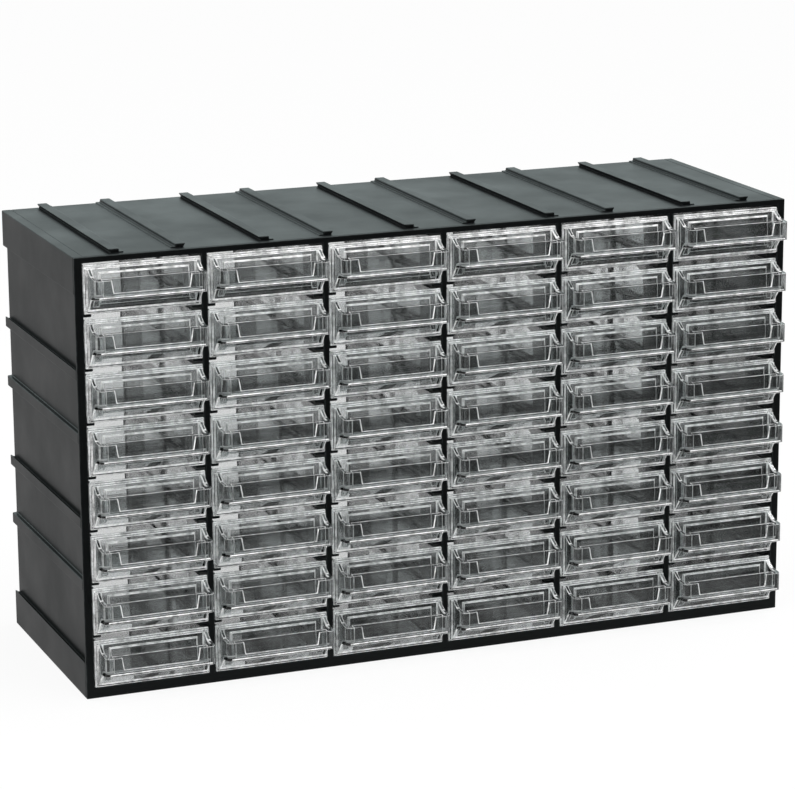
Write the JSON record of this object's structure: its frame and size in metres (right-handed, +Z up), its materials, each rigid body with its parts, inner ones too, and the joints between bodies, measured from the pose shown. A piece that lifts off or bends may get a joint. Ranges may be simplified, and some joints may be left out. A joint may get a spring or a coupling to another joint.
{
  "type": "parts bin cabinet",
  "caption": "Stackable black moulded cabinet with rows and columns of clear sliding drawers, each with a card-holder pull, and dovetail ribs on the top and side.",
  "frame": {"origin": "middle of the cabinet body's base, in the mouth of the middle base channel, on the plane that it stands on", "axes": "+X to the right as seen from the drawers' side, +Y from the drawers to the open back, +Z up"},
  "size_m": [0.384, 0.148, 0.224],
  "materials": {
    "black_plastic": "fine satin moulded texture",
    "clear_plastic": "polished crystal-clear moulding"
  },
  "bodies": {
    "cabinet": {"left_side_panel": "black_plastic", "right_side_panel": "black_plastic", "top_panel": "black_plastic", "bottom_panel": "black_plastic", "front_frame": "black_plastic", "rear_frame": "black_plastic", "divider_1": "black_plastic", "divider_2": "black_plastic", "divider_3": "black_plastic", "divider_4": "black_plastic", "divider_5": "black_plastic"},
    "drawer_1_1": {"drawer_r1_c1": "clear_plastic"},
    "drawer_1_2": {"drawer_r1_c2": "clear_plastic"},
    "drawer_1_3": {"drawer_r1_c3": "clear_plastic"},
    "drawer_1_4": {"drawer_r1_c4": "clear_plastic"},
    "drawer_1_5": {"drawer_r1_c5": "clear_plastic"},
    "drawer_1_6": {"drawer_r1_c6": "clear_plastic"},
    "drawer_2_1": {"drawer_r2_c1": "clear_plastic"},
    "drawer_2_2": {"drawer_r2_c2": "clear_plastic"},
    "drawer_2_3": {"drawer_r2_c3": "clear_plastic"},
    "drawer_2_4": {"drawer_r2_c4": "clear_plastic"},
    "drawer_2_5": {"drawer_r2_c5": "clear_plastic"},
    "drawer_2_6": {"drawer_r2_c6": "clear_plastic"},
    "drawer_3_1": {"drawer_r3_c1": "clear_plastic"},
    "drawer_3_2": {"drawer_r3_c2": "clear_plastic"},
    "drawer_3_3": {"drawer_r3_c3": "clear_plastic"},
    "drawer_3_4": {"drawer_r3_c4": "clear_plastic"},
    "drawer_3_5": {"drawer_r3_c5": "clear_plastic"},
    "drawer_3_6": {"drawer_r3_c6": "clear_plastic"},
    "drawer_4_1": {"drawer_r4_c1": "clear_plastic"},
    "drawer_4_2": {"drawer_r4_c2": "clear_plastic"},
    "drawer_4_3": {"drawer_r4_c3": "clear_plastic"},
    "drawer_4_4": {"drawer_r4_c4": "clear_plastic"},
    "drawer_4_5": {"drawer_r4_c5": "clear_plastic"},
    "drawer_4_6": {"drawer_r4_c6": "clear_plastic"},
    "drawer_5_1": {"drawer_r5_c1": "clear_plastic"},
    "drawer_5_2": {"drawer_r5_c2": "clear_plastic"},
    "drawer_5_3": {"drawer_r5_c3": "clear_plastic"},
    "drawer_5_4": {"drawer_r5_c4": "clear_plastic"},
    "drawer_5_5": {"drawer_r5_c5": "clear_plastic"},
    "drawer_5_6": {"drawer_r5_c6": "clear_plastic"},
    "drawer_6_1": {"drawer_r6_c1": "clear_plastic"},
    "drawer_6_2": {"drawer_r6_c2": "clear_plastic"},
    "drawer_6_3": {"drawer_r6_c3": "clear_plastic"},
    "drawer_6_4": {"drawer_r6_c4": "clear_plastic"},
    "drawer_6_5": {"drawer_r6_c5": "clear_plastic"},
    "drawer_6_6": {"drawer_r6_c6": "clear_plastic"},
    "drawer_7_1": {"drawer_r7_c1": "clear_plastic"},
    "drawer_7_2": {"drawer_r7_c2": "clear_plastic"},
    "drawer_7_3": {"drawer_r7_c3": "clear_plastic"},
    "drawer_7_4": {"drawer_r7_c4": "clear_plastic"},
    "drawer_7_5": {"drawer_r7_c5": "clear_plastic"},
    "drawer_7_6": {"drawer_r7_c6": "clear_plastic"},
    "drawer_8_1": {"drawer_r8_c1": "clear_plastic"},
    "drawer_8_2": {"drawer_r8_c2": "clear_plastic"},
    "drawer_8_3": {"drawer_r8_c3": "clear_plastic"},
    "drawer_8_4": {"drawer_r8_c4": "clear_plastic"},
    "drawer_8_5": {"drawer_r8_c5": "clear_plastic"},
    "drawer_8_6": {"drawer_r8_c6": "clear_plastic"}
  },
  "joints": [
    {"name": "slide_r1_c1", "type": "slide", "parent": "cabinet", "child": "drawer_1_1", "axis": [0, -1, 0], "range_m": [0, 0.1]},
    {"name": "slide_r1_c2", "type": "slide", "parent": "cabinet", "child": "drawer_1_2", "axis": [0, -1, 0], "range_m": [0, 0.1]},
    {"name": "slide_r1_c3", "type": "slide", "parent": "cabinet", "child": "drawer_1_3", "axis": [0, -1, 0], "range_m": [0, 0.1]},
    {"name": "slide_r1_c4", "type": "slide", "parent": "cabinet", "child": "drawer_1_4", "axis": [0, -1, 0], "range_m": [0, 0.1]},
    {"name": "slide_r1_c5", "type": "slide", "parent": "cabinet", "child": "drawer_1_5", "axis": [0, -1, 0], "range_m": [0, 0.1]},
    {"name": "slide_r1_c6", "type": "slide", "parent": "cabinet", "child": "drawer_1_6", "axis": [0, -1, 0], "range_m": [0, 0.1]},
    {"name": "slide_r2_c1", "type": "slide", "parent": "cabinet", "child": "drawer_2_1", "axis": [0, -1, 0], "range_m": [0, 0.1]},
    {"name": "slide_r2_c2", "type": "slide", "parent": "cabinet", "child": "drawer_2_2", "axis": [0, -1, 0], "range_m": [0, 0.1]},
    {"name": "slide_r2_c3", "type": "slide", "parent": "cabinet", "child": "drawer_2_3", "axis": [0, -1, 0], "range_m": [0, 0.1]},
    {"name": "slide_r2_c4", "type": "slide", "parent": "cabinet", "child": "drawer_2_4", "axis": [0, -1, 0], "range_m": [0, 0.1]},
    {"name": "slide_r2_c5", "type": "slide", "parent": "cabinet", "child": "drawer_2_5", "axis": [0, -1, 0], "range_m": [0, 0.1]},
    {"name": "slide_r2_c6", "type": "slide", "parent": "cabinet", "child": "drawer_2_6", "axis": [0, -1, 0], "range_m": [0, 0.1]},
    {"name": "slide_r3_c1", "type": "slide", "parent": "cabinet", "child": "drawer_3_1", "axis": [0, -1, 0], "range_m": [0, 0.1]},
    {"name": "slide_r3_c2", "type": "slide", "parent": "cabinet", "child": "drawer_3_2", "axis": [0, -1, 0], "range_m": [0, 0.1]},
    {"name": "slide_r3_c3", "type": "slide", "parent": "cabinet", "child": "drawer_3_3", "axis": [0, -1, 0], "range_m": [0, 0.1]},
    {"name": "slide_r3_c4", "type": "slide", "parent": "cabinet", "child": "drawer_3_4", "axis": [0, -1, 0], "range_m": [0, 0.1]},
    {"name": "slide_r3_c5", "type": "slide", "parent": "cabinet", "child": "drawer_3_5", "axis": [0, -1, 0], "range_m": [0, 0.1]},
    {"name": "slide_r3_c6", "type": "slide", "parent": "cabinet", "child": "drawer_3_6", "axis": [0, -1, 0], "range_m": [0, 0.1]},
    {"name": "slide_r4_c1", "type": "slide", "parent": "cabinet", "child": "drawer_4_1", "axis": [0, -1, 0], "range_m": [0, 0.1]},
    {"name": "slide_r4_c2", "type": "slide", "parent": "cabinet", "child": "drawer_4_2", "axis": [0, -1, 0], "range_m": [0, 0.1]},
    {"name": "slide_r4_c3", "type": "slide", "parent": "cabinet", "child": "drawer_4_3", "axis": [0, -1, 0], "range_m": [0, 0.1]},
    {"name": "slide_r4_c4", "type": "slide", "parent": "cabinet", "child": "drawer_4_4", "axis": [0, -1, 0], "range_m": [0, 0.1]},
    {"name": "slide_r4_c5", "type": "slide", "parent": "cabinet", "child": "drawer_4_5", "axis": [0, -1, 0], "range_m": [0, 0.1]},
    {"name": "slide_r4_c6", "type": "slide", "parent": "cabinet", "child": "drawer_4_6", "axis": [0, -1, 0], "range_m": [0, 0.1]},
    {"name": "slide_r5_c1", "type": "slide", "parent": "cabinet", "child": "drawer_5_1", "axis": [0, -1, 0], "range_m": [0, 0.1]},
    {"name": "slide_r5_c2", "type": "slide", "parent": "cabinet", "child": "drawer_5_2", "axis": [0, -1, 0], "range_m": [0, 0.1]},
    {"name": "slide_r5_c3", "type": "slide", "parent": "cabinet", "child": "drawer_5_3", "axis": [0, -1, 0], "range_m": [0, 0.1]},
    {"name": "slide_r5_c4", "type": "slide", "parent": "cabinet", "child": "drawer_5_4", "axis": [0, -1, 0], "range_m": [0, 0.1]},
    {"name": "slide_r5_c5", "type": "slide", "parent": "cabinet", "child": "drawer_5_5", "axis": [0, -1, 0], "range_m": [0, 0.1]},
    {"name": "slide_r5_c6", "type": "slide", "parent": "cabinet", "child": "drawer_5_6", "axis": [0, -1, 0], "range_m": [0, 0.1]},
    {"name": "slide_r6_c1", "type": "slide", "parent": "cabinet", "child": "drawer_6_1", "axis": [0, -1, 0], "range_m": [0, 0.1]},
    {"name": "slide_r6_c2", "type": "slide", "parent": "cabinet", "child": "drawer_6_2", "axis": [0, -1, 0], "range_m": [0, 0.1]},
    {"name": "slide_r6_c3", "type": "slide", "parent": "cabinet", "child": "drawer_6_3", "axis": [0, -1, 0], "range_m": [0, 0.1]},
    {"name": "slide_r6_c4", "type": "slide", "parent": "cabinet", "child": "drawer_6_4", "axis": [0, -1, 0], "range_m": [0, 0.1]},
    {"name": "slide_r6_c5", "type": "slide", "parent": "cabinet", "child": "drawer_6_5", "axis": [0, -1, 0], "range_m": [0, 0.1]},
    {"name": "slide_r6_c6", "type": "slide", "parent": "cabinet", "child": "drawer_6_6", "axis": [0, -1, 0], "range_m": [0, 0.1]},
    {"name": "slide_r7_c1", "type": "slide", "parent": "cabinet", "child": "drawer_7_1", "axis": [0, -1, 0], "range_m": [0, 0.1]},
    {"name": "slide_r7_c2", "type": "slide", "parent": "cabinet", "child": "drawer_7_2", "axis": [0, -1, 0], "range_m": [0, 0.1]},
    {"name": "slide_r7_c3", "type": "slide", "parent": "cabinet", "child": "drawer_7_3", "axis": [0, -1, 0], "range_m": [0, 0.1]},
    {"name": "slide_r7_c4", "type": "slide", "parent": "cabinet", "child": "drawer_7_4", "axis": [0, -1, 0], "range_m": [0, 0.1]},
    {"name": "slide_r7_c5", "type": "slide", "parent": "cabinet", "child": "drawer_7_5", "axis": [0, -1, 0], "range_m": [0, 0.1]},
    {"name": "slide_r7_c6", "type": "slide", "parent": "cabinet", "child": "drawer_7_6", "axis": [0, -1, 0], "range_m": [0, 0.1]},
    {"name": "slide_r8_c1", "type": "slide", "parent": "cabinet", "child": "drawer_8_1", "axis": [0, -1, 0], "range_m": [0, 0.1]},
    {"name": "slide_r8_c2", "type": "slide", "parent": "cabinet", "child": "drawer_8_2", "axis": [0, -1, 0], "range_m": [0, 0.1]},
    {"name": "slide_r8_c3", "type": "slide", "parent": "cabinet", "child": "drawer_8_3", "axis": [0, -1, 0], "range_m": [0, 0.1]},
    {"name": "slide_r8_c4", "type": "slide", "parent": "cabinet", "child": "drawer_8_4", "axis": [0, -1, 0], "range_m": [0, 0.1]},
    {"name": "slide_r8_c5", "type": "slide", "parent": "cabinet", "child": "drawer_8_5", "axis": [0, -1, 0], "range_m": [0, 0.1]},
    {"name": "slide_r8_c6", "type": "slide", "parent": "cabinet", "child": "drawer_8_6", "axis": [0, -1, 0], "range_m": [0, 0.1]}
  ]
}
